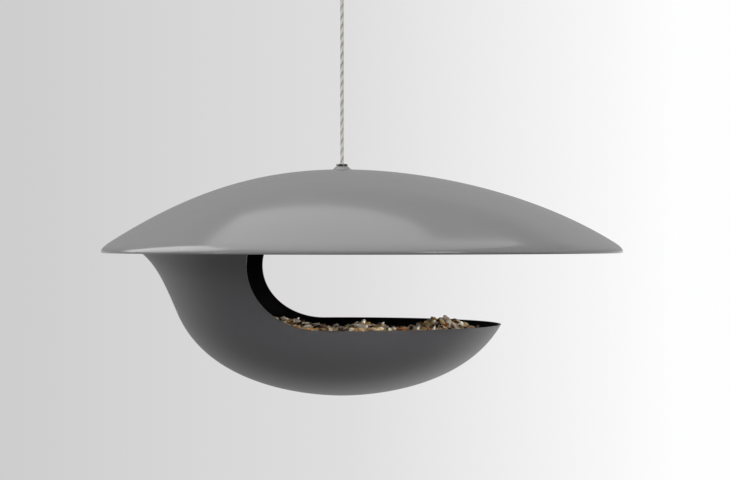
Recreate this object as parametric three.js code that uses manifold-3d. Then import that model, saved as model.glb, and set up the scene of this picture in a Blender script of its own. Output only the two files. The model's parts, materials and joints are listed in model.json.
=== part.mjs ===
// A hanging bird feeder: a round roof with its top off the middle, and under it a bowl with a flared
// rear wall, held up by a cord through the top of the roof.
// Millimetres, +Z up. The origin is where the hook rests on what it hangs from, on the cord's line,
// and the feeder opens towards +X. Each piece of the feeder is drawn from the plane of the roof's rim.

import * as THREE from 'three';
import { mergeVertices } from 'three/addons/utils/BufferGeometryUtils.js';
import Module from 'manifold-3d';

// Clearance between pieces that touch, and how far a cutting form runs past the face that it cuts
const GAP = 0.3;
const CUT_SPARE = 2;

// Roof: a spherical cap on a short rounded rim, with its top moved off the middle of the rim
const ROOF_RADIUS = 220;
const ROOF_OFFSET = 16.8;
const ROOF_RISE = 66.35;
const ROOF_WALL = 3.5;
const RIM_HEIGHT = 4.3;
const RIM_WALL = 4.2;
const RIM_SHOULDER = 3.6;
const RIM_FOOT = 1.3;

// Flared boss on the top of the roof, where the cord comes out
const BOSS_HEIGHT = 2.6;
const BOSS_TOP_RADIUS = 5.4;
const BOSS_BASE_RADIUS = 9.8;
const BOSS_FLARE = 1.8;

// Hub under the top of the roof, which carries the feeder's weight
const HUB_RADIUS = 19;
const HUB_DEPTH = 6;
const HUB_WEB = 2.5;

// Body: bowl and rear wall, a turned shell with a waist between bowl and flare
const BOWL_DEPTH = 120.7;
const BOWL_BASE_HANDLE = 14.9;
const BOWL_SIDE_HANDLE = 72.9;
const WAIST_RADIUS = 139.4;
const WAIST_DEPTH = 50.9;
const WAIST_LEAN = THREE.MathUtils.degToRad(22.9);
const WAIST_HANDLE = 23.2;
const FLARE_RADIUS = 168.1;
const FLARE_DEPTH = 1.3;
const FLARE_LEAN = THREE.MathUtils.degToRad(49.8);
const FLARE_HANDLE = 16;
const BODY_WALL = 1.6;
const DRAIN_RADIUS = 1.8;
const DRAIN_CIRCLE = 30;
const DRAIN_COUNT = 6;

// Flange inside the top of the rear wall, screwed to the roof
const FLANGE_TOP = 5.5;
const FLANGE_THICKNESS = 3;
const FLANGE_EDGE = 3;
const BOLT_TO_WALL = 1.5;
const BOLT_COUNT = 5;
const BOLT_STEP = THREE.MathUtils.degToRad(25);
const ROOF_BOSS_RADIUS = 6;

// Opening: a slot through the body with an elliptical rear end and a level lip
const LIP_DEPTH = 60.2;
const OPENING_END_LENGTH = 57.2;
const OPENING_END_HALF_HEIGHT = 49;
const OPENING_END_X = -16.6;

// Seed: three mounds near one side, and a slope down to the far side
const SEED_BELOW_LIP = 0.6;
const FRONT_MOUND_HEIGHT = 10;
const FRONT_MOUND_X = 86;
const FRONT_MOUND_Y = -30;
const FRONT_MOUND_SPREAD = 17;
const MIDDLE_MOUND_HEIGHT = 6;
const MIDDLE_MOUND_X = 19;
const MIDDLE_MOUND_Y = -72;
const MIDDLE_MOUND_SPREAD = 10;
const REAR_MOUND_HEIGHT = 10;
const REAR_MOUND_X = -55;
const REAR_MOUND_Y = -85;
const REAR_MOUND_SPREAD = 22;
const FAR_DROP = 10;
const FAR_DROP_START = -140;
const FAR_DROP_END = 100;

// Screws, washers and threaded inserts
const SCREW_RADIUS = 2;
const SCREW_HEAD_RADIUS = 3.6;
const SCREW_HEAD_HEIGHT = 2.5;
const SCREW_SOCKET_RADIUS = 1.5;
const SCREW_SOCKET_DEPTH = 1.4;
const SCREW_GRIP = 9.5;
const FLANGE_WASHER_RADIUS = 4.4;
const FLANGE_WASHER_THICKNESS = 0.8;
const INSERT_WALL = 0.8;
const INSERT_LENGTH = 8;
const INSERT_BORE_SPARE = 2;

// Cord and its fittings
const CORD_DIAMETER = 3.2;
const CORD_DROP = 141.8;
const TAIL_BELOW_STOP = 1.5;
const GROMMET_COLLAR_RADIUS = 5;
const GROMMET_COLLAR_HEIGHT = 1.9;
const GROMMET_NECK_RADIUS = 3.8;
const GROMMET_NECK_LENGTH = 3.5;
const BUSH_RADIUS = 4.6;
const BUSH_FLANGE_RADIUS = 8;
const BUSH_FLANGE_THICKNESS = 2;
const LOAD_WASHER_RADIUS = 17;
const LOAD_WASHER_THICKNESS = 2;
const SWIVEL_WASHER_RADIUS = 6.5;
const SWIVEL_WASHER_THICKNESS = 1.2;
const STOP_RADIUS = 5.5;
const STOP_LENGTH = 10;
const STOP_CHAMFER = 1;

// Eye terminal and S-hook at the upper end of the cord
const EYE_RADIUS = 7.5;
const EYE_WIRE = 4;
const SLEEVE_RADIUS = 3.4;
const SLEEVE_LENGTH = 22;
const SLEEVE_BORE_DEPTH = 18;
const SLEEVE_CHAMFER = 0.8;
const HOOK_WIRE = 4.5;
const HOOK_TOP_RADIUS = 16;
const HOOK_LOW_RADIUS = 9;
const HOOK_SHANK = 34;
const HOOK_TIP = 5;

// Facets
const SHELL_SIDES = 60;
const SMALL_SIDES = 16;
const SCREW_SIDES = 10;
const CORD_SIDES = 8;
const WIRE_SIDES = 10;
const CURVE_STEPS = 11;
const ROUND_STEPS = 3;
const HEAP_CELL = 12;

const roofGrey = new THREE.MeshStandardMaterial({ color: 0x949494, roughness: 0.35, metalness: 0 });
const bodyGrey = new THREE.MeshStandardMaterial({ color: 0x424244, roughness: 0.6, metalness: 0 });
const rubberBlack = new THREE.MeshStandardMaterial({ color: 0x1b1b1b, roughness: 0.8, metalness: 0 });
const nylonWhite = new THREE.MeshStandardMaterial({ color: 0xe6e2d8, roughness: 0.5, metalness: 0 });
const steel = new THREE.MeshStandardMaterial({ color: 0xb6babd, roughness: 0.35, metalness: 1 });
const brass = new THREE.MeshStandardMaterial({ color: 0xb5924c, roughness: 0.35, metalness: 1 });
const twine = new THREE.MeshStandardMaterial({ color: 0xaba596, roughness: 0.95, metalness: 0 });
const seedMix = new THREE.MeshStandardMaterial({ color: 0x8c6f47, roughness: 0.9, metalness: 0 });

const wasm = await Module();
wasm.setup();

// A closed geometry as a solid to join and cut, with its faces pointing out
function solidOf(geometry) {
  const bare = new THREE.BufferGeometry();
  bare.setAttribute('position', geometry.getAttribute('position'));
  bare.setIndex(geometry.getIndex());
  const welded = mergeVertices(bare);
  const points = welded.getAttribute('position');
  const index = welded.getIndex().array;
  const a = new THREE.Vector3();
  const b = new THREE.Vector3();
  const c = new THREE.Vector3();
  const triangles = [];
  let volume = 0;
  for (let i = 0; i < index.length; i += 3) {
    const [p, q, r] = index.slice(i, i + 3);
    if (p === q || q === r || r === p) continue;
    triangles.push(p, q, r);
    a.fromBufferAttribute(points, p);
    b.fromBufferAttribute(points, q);
    c.fromBufferAttribute(points, r);
    volume += a.dot(b.cross(c));
  }
  if (volume < 0) triangles.reverse();
  const triVerts = new Uint32Array(triangles);
  const vertProperties = new Float32Array(points.array);
  return new wasm.Manifold(new wasm.Mesh({ numProp: 3, vertProperties, triVerts }));
}

// A solid back as a geometry
function geometryOf(solid) {
  const { vertProperties, triVerts } = solid.getMesh();
  const geometry = new THREE.BufferGeometry();
  geometry.setAttribute('position', new THREE.BufferAttribute(vertProperties, 3));
  geometry.setIndex(new THREE.BufferAttribute(triVerts, 1));
  geometry.computeVertexNormals();
  return geometry;
}

// An outline of [radius, height] pairs turned about Z
function turned(outline, sides = SMALL_SIDES) {
  const points = outline.map(([radius, height]) => new THREE.Vector2(radius, height));
  return new THREE.LatheGeometry(points, sides).rotateX(Math.PI / 2);
}

// A ring with a square section, from bottom to top
function ring(innerRadius, outerRadius, bottom, top, sides = SMALL_SIDES) {
  return turned([
    [innerRadius, bottom], [outerRadius, bottom], [outerRadius, top], [innerRadius, top],
    [innerRadius, bottom],
  ], sides);
}

// An upright rod, from bottom to top
function rod(radius, bottom, top, sides = SMALL_SIDES) {
  return turned([[0, bottom], [radius, bottom], [radius, top], [0, top]], sides);
}

// Points of a curve in the plane, as [radius, height] pairs
function along(curve, steps) {
  return curve.getPoints(steps).map((point) => [point.x, point.y]);
}

function bend(from, through, to) {
  return new THREE.QuadraticBezierCurve(
    new THREE.Vector2(...from), new THREE.Vector2(...through), new THREE.Vector2(...to),
  );
}

const bird_feeder = new THREE.Group();
const feeder = new THREE.Group();
bird_feeder.add(feeder);

function add(group, name, geometry, material) {
  const mesh = new THREE.Mesh(geometry, material);
  mesh.name = name;
  group.add(mesh);
  return mesh;
}

// Levels above the plane of the roof's rim
const roofTop = RIM_HEIGHT + ROOF_RISE;
const bossTop = roofTop + BOSS_HEIGHT;
const grommetTop = bossTop + GAP + GROMMET_COLLAR_HEIGHT;
const tiltPivot = grommetTop + GAP;
const hubBottom = roofTop - ROOF_WALL - HUB_DEPTH;
const loadWasherTop = hubBottom - GAP;
const bushFlangeTop = loadWasherTop - LOAD_WASHER_THICKNESS - GAP;
const bushBottom = bushFlangeTop - BUSH_FLANGE_THICKNESS;
const swivelWasherTop = bushBottom - GAP;
const stopTop = swivelWasherTop - SWIVEL_WASHER_THICKNESS - GAP;
const stopBottom = stopTop - STOP_LENGTH;
const grommetBottom = bossTop - GROMMET_NECK_LENGTH;
const cordRadius = CORD_DIAMETER / 2;
const cordHole = cordRadius + GAP;

// The body's outer wall is two curves that meet at the waist, then a straight run to the flange
const lean = (angle) => new THREE.Vector2(Math.sin(angle), Math.cos(angle));
const bowlBottom = new THREE.Vector2(0, -BOWL_DEPTH);
const waist = new THREE.Vector2(WAIST_RADIUS, -WAIST_DEPTH);
const flareEnd = new THREE.Vector2(FLARE_RADIUS, -FLARE_DEPTH);
const waistLean = lean(WAIST_LEAN);
const flareLean = lean(FLARE_LEAN);
const bowlCurve = new THREE.CubicBezierCurve(
  bowlBottom,
  new THREE.Vector2(BOWL_BASE_HANDLE, -BOWL_DEPTH),
  waist.clone().addScaledVector(waistLean, -BOWL_SIDE_HANDLE),
  waist,
);
const flareCurve = new THREE.CubicBezierCurve(
  waist,
  waist.clone().addScaledVector(waistLean, WAIST_HANDLE),
  flareEnd.clone().addScaledVector(flareLean, -FLARE_HANDLE),
  flareEnd,
);

// The wall's outline from the bottom of the bowl to a level, set in from the outside by a thickness
function wallOutline(inset, level) {
  const points = [[0, inset - BOWL_DEPTH]];
  for (const curve of [bowlCurve, flareCurve]) {
    for (let i = 1; i <= CURVE_STEPS; i += 1) {
      const point = curve.getPoint(i / CURVE_STEPS);
      const run = curve.getTangent(i / CURVE_STEPS);
      points.push([point.x - inset * run.y, point.y + inset * run.x]);
    }
  }
  const [radius, height] = points[points.length - 1];
  points.push([radius + (level - height) * Math.tan(FLARE_LEAN), level]);
  return points;
}

// The wall's radius at a level of the flare, set in from the outside by a thickness
function wallRadius(inset, level) {
  const points = wallOutline(inset, FLANGE_TOP);
  const above = points.findIndex(([, height]) => height > level);
  const [lowRadius, lowHeight] = points[above - 1];
  const [highRadius, highHeight] = points[above];
  return lowRadius + (highRadius - lowRadius) * (level - lowHeight) / (highHeight - lowHeight);
}

// The ring of bolts stands as far out as the screw heads clear the wall
const flangeUnder = FLANGE_TOP - FLANGE_THICKNESS;
const flangeWasherTop = flangeUnder - GAP;
const screwHeadTop = flangeWasherTop - FLANGE_WASHER_THICKNESS - GAP;
const screwHeadBottom = screwHeadTop - SCREW_HEAD_HEIGHT;
const boltCircle = wallRadius(BODY_WALL, screwHeadBottom) - SCREW_HEAD_RADIUS - BOLT_TO_WALL;
const flangeInner = boltCircle - FLANGE_WASHER_RADIUS - FLANGE_EDGE;
const boltAngles = [];
for (let i = 0; i < BOLT_COUNT; i += 1) {
  boltAngles.push(Math.PI + (i - (BOLT_COUNT - 1) / 2) * BOLT_STEP);
}

function atBolt(geometry, angle) {
  return geometry.translate(boltCircle * Math.cos(angle), boltCircle * Math.sin(angle), 0);
}

// Roof. The cap's sphere, and its height at a radius for the outer and the inner surface
const capRadius = (ROOF_RADIUS ** 2 + ROOF_RISE ** 2) / (2 * ROOF_RISE);
const capCentre = roofTop - capRadius;

function capHeight(radius, inset = 0) {
  return capCentre + Math.sqrt((capRadius - inset) ** 2 - radius ** 2);
}

function capOutline(outerRadius, inset) {
  const points = [];
  for (let i = 0; i <= CURVE_STEPS; i += 1) {
    const radius = outerRadius * Math.sin((i / CURVE_STEPS) * Math.PI / 2);
    points.push([radius, capHeight(radius, inset)]);
  }
  return points;
}

// Moves each level circle of a turned form off the axis, from none at the top to all at the rim
function eccentric(geometry) {
  const points = geometry.getAttribute('position');
  for (let i = 0; i < points.count; i += 1) {
    const radius = Math.hypot(points.getX(i), points.getY(i));
    const share = THREE.MathUtils.smoothstep(radius, 0, ROOF_RADIUS);
    points.setX(i, points.getX(i) + ROOF_OFFSET * share);
  }
  return geometry;
}

const capEdge = ROOF_RADIUS - RIM_SHOULDER;
const rimInner = ROOF_RADIUS - RIM_WALL;
const capSlope = capEdge / Math.sqrt(capRadius ** 2 - capEdge ** 2);
const rimShoulder = bend(
  [capEdge, capHeight(capEdge)],
  [ROOF_RADIUS, capHeight(capEdge) - RIM_SHOULDER * capSlope],
  [ROOF_RADIUS, RIM_FOOT],
);
const rimFoot = bend([ROOF_RADIUS, RIM_FOOT], [ROOF_RADIUS, 0], [ROOF_RADIUS - RIM_FOOT, 0]);
const domeOutline = [
  ...capOutline(capEdge, 0),
  ...along(rimShoulder, ROUND_STEPS).slice(1),
  ...along(rimFoot, ROUND_STEPS).slice(1),
  [0, 0],
];
const dome = solidOf(eccentric(turned(domeOutline, SHELL_SIDES)));
const hollowOutline = [...capOutline(rimInner, ROOF_WALL), [rimInner, -CUT_SPARE], [0, -CUT_SPARE]];
const hollow = solidOf(eccentric(turned(hollowOutline, SHELL_SIDES)));

const roofBossFace = FLANGE_TOP + GAP;
const insertRadius = SCREW_RADIUS + GAP + INSERT_WALL;
const insertBoreTop = roofBossFace + GAP + INSERT_LENGTH + INSERT_BORE_SPARE;
let roofSolid = dome.subtract(hollow);
let roofFixings = solidOf(rod(HUB_RADIUS, hubBottom, roofTop));
for (const angle of boltAngles) {
  roofFixings = roofFixings.add(solidOf(atBolt(rod(ROOF_BOSS_RADIUS, roofBossFace, roofTop), angle)));
}
roofSolid = roofSolid.add(roofFixings.intersect(dome));
for (const angle of boltAngles) {
  const bore = atBolt(rod(insertRadius + GAP, -CUT_SPARE, insertBoreTop), angle);
  roofSolid = roofSolid.subtract(solidOf(bore));
}

const bossFoot = capHeight(BOSS_BASE_RADIUS);
const bossFlank = bend(
  [BOSS_BASE_RADIUS, bossFoot], [BOSS_TOP_RADIUS + BOSS_FLARE, roofTop], [BOSS_TOP_RADIUS, bossTop],
);
const bossOutline = [
  [0, hubBottom], [BOSS_BASE_RADIUS, hubBottom], ...along(bossFlank, 2 * ROUND_STEPS), [0, bossTop],
];
const grommetSeat = rod(GROMMET_NECK_RADIUS + GAP, grommetBottom - GAP, bossTop + CUT_SPARE);
const bushTop = grommetBottom - GAP - HUB_WEB - GAP;
const bushSeat = rod(BUSH_RADIUS + GAP, -CUT_SPARE, bushTop + GAP);
roofSolid = roofSolid.add(solidOf(turned(bossOutline, 2 * SMALL_SIDES)));
roofSolid = roofSolid.subtract(solidOf(grommetSeat)).subtract(solidOf(bushSeat));
roofSolid = roofSolid.subtract(solidOf(rod(cordHole, -CUT_SPARE, bossTop + CUT_SPARE)));
add(feeder, 'roof_shell', geometryOf(roofSolid), roofGrey);

// Body
const bodyOutline = [
  ...wallOutline(0, FLANGE_TOP),
  [flangeInner, FLANGE_TOP],
  [flangeInner, flangeUnder],
  ...wallOutline(BODY_WALL, flangeUnder).reverse(),
];
let bodySolid = solidOf(turned(bodyOutline, SHELL_SIDES));

const openingCentre = OPENING_END_HALF_HEIGHT - LIP_DEPTH;
const openingTop = openingCentre + OPENING_END_HALF_HEIGHT;
const openingReach = FLARE_RADIUS + ROOF_RADIUS;
const openingShape = new THREE.Shape();
openingShape.moveTo(openingReach, -LIP_DEPTH);
openingShape.lineTo(openingReach, openingTop);
openingShape.lineTo(OPENING_END_X, openingTop);
openingShape.absellipse(
  OPENING_END_X, openingCentre, OPENING_END_LENGTH, OPENING_END_HALF_HEIGHT, Math.PI / 2, 1.5 * Math.PI,
);
openingShape.closePath();
const opening = new THREE.ExtrudeGeometry(openingShape, {
  depth: 2 * openingReach, bevelEnabled: false, curveSegments: CURVE_STEPS,
});
opening.rotateX(Math.PI / 2).translate(0, openingReach, 0);
bodySolid = bodySolid.subtract(solidOf(opening));

for (const angle of boltAngles) {
  const hole = rod(SCREW_RADIUS + GAP, flangeUnder - CUT_SPARE, FLANGE_TOP + CUT_SPARE, SCREW_SIDES);
  bodySolid = bodySolid.subtract(solidOf(atBolt(hole, angle)));
}
const bowlFoot = Math.min(...wallOutline(0, FLANGE_TOP).map(([, height]) => height));
for (let i = 0; i < DRAIN_COUNT; i += 1) {
  const angle = (2 * Math.PI * i) / DRAIN_COUNT;
  const drain = rod(DRAIN_RADIUS, bowlFoot - CUT_SPARE, -WAIST_DEPTH, SCREW_SIDES);
  drain.translate(DRAIN_CIRCLE * Math.cos(angle), DRAIN_CIRCLE * Math.sin(angle), 0);
  bodySolid = bodySolid.subtract(solidOf(drain));
}
add(feeder, 'body_shell', geometryOf(bodySolid), bodyGrey);

// Seed: what the bowl holds, under the heap's surface
function mound(x, y, height, spread) {
  return height * Math.exp(-0.5 * (x ** 2 + y ** 2) / spread ** 2);
}

function seedLevel(x, y) {
  const front = mound(x - FRONT_MOUND_X, y - FRONT_MOUND_Y, FRONT_MOUND_HEIGHT, FRONT_MOUND_SPREAD);
  const middle = mound(x - MIDDLE_MOUND_X, y - MIDDLE_MOUND_Y, MIDDLE_MOUND_HEIGHT, MIDDLE_MOUND_SPREAD);
  const rear = mound(x - REAR_MOUND_X, y - REAR_MOUND_Y, REAR_MOUND_HEIGHT, REAR_MOUND_SPREAD);
  const drop = FAR_DROP * THREE.MathUtils.smoothstep(y, FAR_DROP_START, FAR_DROP_END);
  return -LIP_DEPTH - SEED_BELOW_LIP + front + middle + rear - drop;
}

const bowlInside = [...wallOutline(BODY_WALL + GAP, FLANGE_TOP), [0, FLANGE_TOP]];
const heapWidth = 2 * FLARE_RADIUS;
const heapCells = Math.round(heapWidth / HEAP_CELL);
const heap = new THREE.BoxGeometry(heapWidth, heapWidth, 2 * BOWL_DEPTH, heapCells, heapCells, 1);
const heapPoints = heap.getAttribute('position');
for (let i = 0; i < heapPoints.count; i += 1) {
  const onTop = heapPoints.getZ(i) > 0;
  const level = seedLevel(heapPoints.getX(i), heapPoints.getY(i));
  heapPoints.setZ(i, onTop ? level : -2 * BOWL_DEPTH);
}
const seedSolid = solidOf(turned(bowlInside, SHELL_SIDES)).intersect(solidOf(heap));
add(feeder, 'seed_fill', geometryOf(seedSolid), seedMix);

// Screws, washers and inserts that hold the flange to the roof's bosses
const screwEnd = roofBossFace + SCREW_GRIP;
const headCrown = bend(
  [SCREW_HEAD_RADIUS - SCREW_HEAD_HEIGHT / 2, screwHeadBottom],
  [SCREW_HEAD_RADIUS, screwHeadBottom],
  [SCREW_HEAD_RADIUS, screwHeadBottom + SCREW_HEAD_HEIGHT / 2],
);
const screwOutline = [
  [0, screwHeadBottom], ...along(headCrown, ROUND_STEPS), [SCREW_HEAD_RADIUS, screwHeadTop],
  [SCREW_RADIUS, screwHeadTop], [SCREW_RADIUS, screwEnd], [0, screwEnd],
];
const hexSides = 6;
const screwSocket = rod(
  SCREW_SOCKET_RADIUS, screwHeadBottom - CUT_SPARE, screwHeadBottom + SCREW_SOCKET_DEPTH, hexSides,
);
const screwSolid = solidOf(turned(screwOutline, SCREW_SIDES)).subtract(solidOf(screwSocket));
const insertFoot = roofBossFace + GAP;
boltAngles.forEach((angle, i) => {
  const screw = atBolt(geometryOf(screwSolid), angle);
  const washer = atBolt(
    ring(SCREW_RADIUS + GAP, FLANGE_WASHER_RADIUS, flangeWasherTop - FLANGE_WASHER_THICKNESS,
      flangeWasherTop, SCREW_SIDES),
    angle,
  );
  const insert = atBolt(
    ring(SCREW_RADIUS + GAP, insertRadius, insertFoot, insertFoot + INSERT_LENGTH, SCREW_SIDES), angle,
  );
  add(feeder, `flange_screw_${i + 1}`, screw, steel);
  add(feeder, `flange_washer_${i + 1}`, washer, steel);
  add(feeder, `thread_insert_${i + 1}`, insert, brass);
});

// Grommet in the mouth of the boss, with a rounded collar over its edge
const collarFoot = bossTop + GAP;
const collarCrown = bend(
  [GROMMET_COLLAR_RADIUS, collarFoot + GROMMET_COLLAR_HEIGHT / 2],
  [GROMMET_COLLAR_RADIUS, grommetTop],
  [GROMMET_NECK_RADIUS, grommetTop],
);
add(feeder, 'cord_grommet', turned([
  [cordHole, grommetBottom], [GROMMET_NECK_RADIUS, grommetBottom], [GROMMET_NECK_RADIUS, collarFoot],
  [GROMMET_COLLAR_RADIUS, collarFoot], ...along(collarCrown, ROUND_STEPS), [cordHole, grommetTop],
  [cordHole, grommetBottom],
]), rubberBlack);

// Bush and washer under the hub, which pass the weight to the cord's stop
add(feeder, 'load_washer', ring(
  BUSH_RADIUS + GAP, LOAD_WASHER_RADIUS, loadWasherTop - LOAD_WASHER_THICKNESS, loadWasherTop,
), steel);
add(feeder, 'hub_bush', turned([
  [cordHole, bushBottom], [BUSH_FLANGE_RADIUS, bushBottom], [BUSH_FLANGE_RADIUS, bushFlangeTop],
  [BUSH_RADIUS, bushFlangeTop], [BUSH_RADIUS, bushTop], [cordHole, bushTop], [cordHole, bushBottom],
]), brass);

// End of the cord inside the roof, with its stop and the washer that the feeder turns on
const tailCrown = [];
for (let i = 0; i <= ROUND_STEPS; i += 1) {
  const angle = (i / ROUND_STEPS) * Math.PI / 2;
  tailCrown.push([cordRadius * Math.cos(angle), tiltPivot + cordRadius * Math.sin(angle)]);
}
const tailEnd = stopBottom - TAIL_BELOW_STOP;
add(feeder, 'cord_tail', turned([[0, tailEnd], [cordRadius, tailEnd], ...tailCrown], CORD_SIDES), twine);
add(feeder, 'swivel_washer', ring(
  cordHole, SWIVEL_WASHER_RADIUS, swivelWasherTop - SWIVEL_WASHER_THICKNESS, swivelWasherTop,
), nylonWhite);
add(feeder, 'cord_stop', turned([
  [cordHole, stopBottom], [STOP_RADIUS - STOP_CHAMFER, stopBottom],
  [STOP_RADIUS, stopBottom + STOP_CHAMFER], [STOP_RADIUS, stopTop], [cordHole, stopTop],
  [cordHole, stopBottom],
]), steel);

// Levels of the hanging pieces, down from the hook's seat at the origin
const hookTopCentre = HOOK_WIRE / 2 - HOOK_TOP_RADIUS;
const hookLowCentre = hookTopCentre - HOOK_SHANK;
const swingPivot = hookLowCentre - HOOK_LOW_RADIUS;
const eyeHole = EYE_RADIUS - EYE_WIRE / 2;
const eyeCentre = swingPivot + HOOK_WIRE / 2 + GAP - eyeHole;
const sleeveTop = eyeCentre - EYE_RADIUS;
const sleeveBottom = sleeveTop - SLEEVE_LENGTH;
const sleeveBoreTop = sleeveBottom + SLEEVE_BORE_DEPTH;
const rimLevel = sleeveBottom - CORD_DROP - tiltPivot;
feeder.position.z = rimLevel;

// Cord: taut, from the mouth of the boss into the eye terminal's sleeve
const cordFoot = rimLevel + tiltPivot + cordRadius + GAP;
const cordHead = sleeveBoreTop - GAP;
const cordLine = new THREE.LineCurve3(new THREE.Vector3(0, 0, cordFoot), new THREE.Vector3(0, 0, cordHead));
const cordSection = new THREE.Shape();
cordSection.absarc(0, 0, cordRadius, 0, 2 * Math.PI);
const cordSteps = Math.ceil((cordHead - cordFoot) / (3 * CORD_DIAMETER));
add(bird_feeder, 'cord', new THREE.ExtrudeGeometry(cordSection, {
  steps: cordSteps, curveSegments: CORD_SIDES / 2, extrudePath: cordLine,
}), twine);

// Eye terminal: a crimped sleeve with a ring on its end
const sleeve = turned([
  [cordHole, sleeveBottom], [SLEEVE_RADIUS - SLEEVE_CHAMFER, sleeveBottom],
  [SLEEVE_RADIUS, sleeveBottom + SLEEVE_CHAMFER], [SLEEVE_RADIUS, sleeveTop], [0, sleeveTop],
  [0, sleeveBoreTop], [cordHole, sleeveBoreTop], [cordHole, sleeveBottom],
]);
const eyeRing = new THREE.TorusGeometry(EYE_RADIUS, EYE_WIRE / 2, WIRE_SIDES, 2 * CURVE_STEPS);
eyeRing.rotateX(Math.PI / 2).translate(0, 0, eyeCentre);
add(bird_feeder, 'cord_eye', geometryOf(solidOf(sleeve).add(solidOf(eyeRing))), steel);

// S-hook: two bends of one wire in the YZ plane, joined by a shank that crosses the cord's line
const hookPoints = [];
const arc = (radius, centre, from, to) => {
  for (let i = 0; i <= CURVE_STEPS; i += 1) {
    const angle = from + (to - from) * (i / CURVE_STEPS);
    hookPoints.push(new THREE.Vector3(0, radius * Math.cos(angle), centre + radius * Math.sin(angle)));
  }
};
hookPoints.push(new THREE.Vector3(0, HOOK_LOW_RADIUS, hookLowCentre + HOOK_TIP));
arc(HOOK_LOW_RADIUS, hookLowCentre, 0, -Math.PI);
arc(HOOK_TOP_RADIUS, hookTopCentre, 0, Math.PI);
hookPoints.push(new THREE.Vector3(0, -HOOK_TOP_RADIUS, hookTopCentre - HOOK_TIP));
const hookSection = new THREE.Shape();
hookSection.absarc(0, 0, HOOK_WIRE / 2, 0, 2 * Math.PI);
add(bird_feeder, 'hanging_hook', new THREE.ExtrudeGeometry(hookSection, {
  steps: 4 * CURVE_STEPS,
  curveSegments: WIRE_SIDES / 2,
  extrudePath: new THREE.CatmullRomCurve3(hookPoints),
}), steel);

export default bird_feeder;
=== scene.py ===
import json
import math
import random

import bpy
from mathutils import Matrix, Vector, noise


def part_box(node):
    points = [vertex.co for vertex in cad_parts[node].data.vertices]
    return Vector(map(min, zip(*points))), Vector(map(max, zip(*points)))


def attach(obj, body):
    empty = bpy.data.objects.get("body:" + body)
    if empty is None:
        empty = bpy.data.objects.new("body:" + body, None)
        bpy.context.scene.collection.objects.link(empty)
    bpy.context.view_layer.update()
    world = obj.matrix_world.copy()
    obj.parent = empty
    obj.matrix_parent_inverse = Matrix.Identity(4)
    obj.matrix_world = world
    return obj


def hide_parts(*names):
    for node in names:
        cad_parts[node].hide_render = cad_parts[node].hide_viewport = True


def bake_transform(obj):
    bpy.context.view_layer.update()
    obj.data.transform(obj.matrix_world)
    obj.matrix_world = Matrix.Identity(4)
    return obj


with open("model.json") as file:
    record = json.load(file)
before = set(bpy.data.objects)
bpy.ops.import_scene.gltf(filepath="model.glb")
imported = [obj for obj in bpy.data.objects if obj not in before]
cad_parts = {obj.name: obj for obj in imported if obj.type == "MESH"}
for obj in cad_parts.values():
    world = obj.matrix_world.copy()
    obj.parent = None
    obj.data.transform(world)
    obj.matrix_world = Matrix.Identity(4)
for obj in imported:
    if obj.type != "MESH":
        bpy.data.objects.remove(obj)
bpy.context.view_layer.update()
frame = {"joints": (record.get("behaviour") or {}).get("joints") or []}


# Roof: one round moulding of light grey gloss plastic, a shallow dome on a short rounded rim. Its top
# stands off the middle of the rim and carries a small flared boss for the cord. Under it a hub takes
# the feeder's weight, and five bosses at the rear take the screws that hold the bowl.
roof_low, roof_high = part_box("roof_shell")
rim_level = roof_low.z
rim_radius = (roof_high.y - roof_low.y) / 2
rim_offset = (roof_high.x + roof_low.x) / 2
rim_height = 0.0043
rim_wall = 0.0042
rim_shoulder = 0.008
rim_foot = 0.0013
rim_inner_round = 0.0009
roof_wall = 0.0035
boss_height = 0.0026
boss_top_radius = 0.0054
boss_base_radius = 0.0098
boss_flare = 0.0018
boss_top = roof_high.z - rim_level
roof_top = boss_top - boss_height
clearance = 0.0003
cord_low, cord_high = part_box("cord")
cord_hole = (cord_high.x - cord_low.x) / 2 + clearance
hub_radius = 0.019
hub_depth = 0.006
hub_fillet = 0.003
bush_low, bush_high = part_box("hub_bush")
bush_radius = 0.0046
bush_hole = bush_radius + clearance
bush_seat_top = bush_high.z - rim_level + clearance
grommet_low, grommet_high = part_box("cord_grommet")
grommet_neck_radius = 0.0038
grommet_seat_foot = grommet_low.z - rim_level - clearance
roof_sides = 240
small_sides = 48
bolt_sides = 32
dome_steps = 48
underside_steps = 36
shoulder_steps = 16
flank_steps = 12
mouth_steps = 3
round_steps = 6
inner_round_steps = 5
offset_rounds = 12
mouth_ease = 0.0003
hub_ease = 0.0006
longest_ease = 0.45
weld_distance = 0.000002

cap_rise = roof_top - rim_height
cap_radius = (rim_radius**2 + cap_rise**2) / (2 * cap_rise)
cap_centre = roof_top - cap_radius


def dome_height(radius, inset=0.0):
    """The dome's height above the rim, on its outside or that far inside it."""
    return cap_centre + math.sqrt((cap_radius - inset) ** 2 - radius**2)


def gentle(value):
    """A value held between 0 and 1, that leaves the one and comes to the other gently."""
    share = min(1.0, max(0.0, value))
    return share * share * (3 - 2 * share)


def offset_at(radius):
    """How far a level circle of the dome stands off the cord's line: none at the top, all at the rim."""
    return rim_offset * gentle(radius / rim_radius)


def dome_over(x, y, inset):
    """The dome's height above the rim at a place."""
    radius = math.hypot(x, y)
    for _ in range(offset_rounds):
        radius = math.hypot(x - offset_at(radius), y)
    return dome_height(radius, inset)


def dome_run(start, end, inset, steps):
    """Points along the dome from one radius to another."""
    first = math.asin(start / (cap_radius - inset))
    last = math.asin(end / (cap_radius - inset))
    points = []
    for i in range(steps + 1):
        angle = first + (last - first) * i / steps
        radius = (cap_radius - inset) * math.sin(angle)
        points.append((radius, dome_height(radius, inset)))
    return points


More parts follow.
